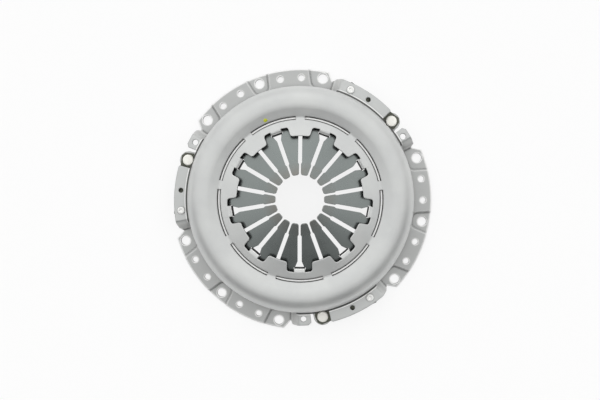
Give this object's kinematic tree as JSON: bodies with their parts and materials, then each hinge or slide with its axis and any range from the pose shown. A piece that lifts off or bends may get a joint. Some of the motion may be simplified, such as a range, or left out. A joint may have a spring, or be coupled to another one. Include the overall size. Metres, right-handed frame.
{
  "type": "clutch pressure plate",
  "caption": "Clutch cover assembly: pressed steel cover with bolt flange, diaphragm spring held by folded hooks, and an iron pressure plate hung on flat straps.",
  "frame": {"origin": "centre of the bolt circle, in the flange face that bolts to the flywheel", "axes": "+Z along the clutch axis, away from the flywheel towards the gearbox; +X and +Y lie in the flange face, with the first bolt hole 80 degrees from +X towards +Y"},
  "size_m": [0.2364, 0.24, 0.0408],
  "materials": {
    "cover_steel": "satin light grey pressed steel sheet",
    "spring_steel": "dark grey hardened spring steel, shot peened",
    "wire_steel": "drawn steel wire",
    "plate_iron": "cast iron, friction face turned bright",
    "strap_steel": "blued spring steel strip",
    "small_rivet_steel": "bright plated steel",
    "large_rivet_steel": "bright plated steel, pale"
  },
  "bodies": {
    "cover_body": {"cover": "cover_steel", "diaphragm_spring": "spring_steel", "pivot_ring": "wire_steel", "strap_a_leaf_1": "strap_steel", "strap_a_leaf_2": "strap_steel", "strap_a_leaf_3": "strap_steel", "strap_a_leaf_4": "strap_steel", "strap_b_leaf_1": "strap_steel", "strap_b_leaf_2": "strap_steel", "strap_b_leaf_3": "strap_steel", "strap_b_leaf_4": "strap_steel", "strap_c_leaf_1": "strap_steel", "strap_c_leaf_2": "strap_steel", "strap_c_leaf_3": "strap_steel", "strap_c_leaf_4": "strap_steel", "cover_rivet_a": "small_rivet_steel", "cover_rivet_b": "small_rivet_steel", "cover_rivet_c": "small_rivet_steel"},
    "plate_body": {"pressure_plate": "plate_iron", "plate_rivet_a": "large_rivet_steel", "plate_rivet_b": "large_rivet_steel", "plate_rivet_c": "large_rivet_steel"}
  },
  "joints": [
    {"name": "plate_lift", "type": "slide", "parent": "cover_body", "child": "plate_body", "axis": [0, 0, 1], "range_m": [0, 0.0035], "stiffness_N_per_m": 20000, "deforming": ["diaphragm_spring", "strap_a_leaf_1", "strap_a_leaf_2", "strap_a_leaf_3", "strap_a_leaf_4", "strap_b_leaf_1", "strap_b_leaf_2", "strap_b_leaf_3", "strap_b_leaf_4", "strap_c_leaf_1", "strap_c_leaf_2", "strap_c_leaf_3", "strap_c_leaf_4"]}
  ]
}
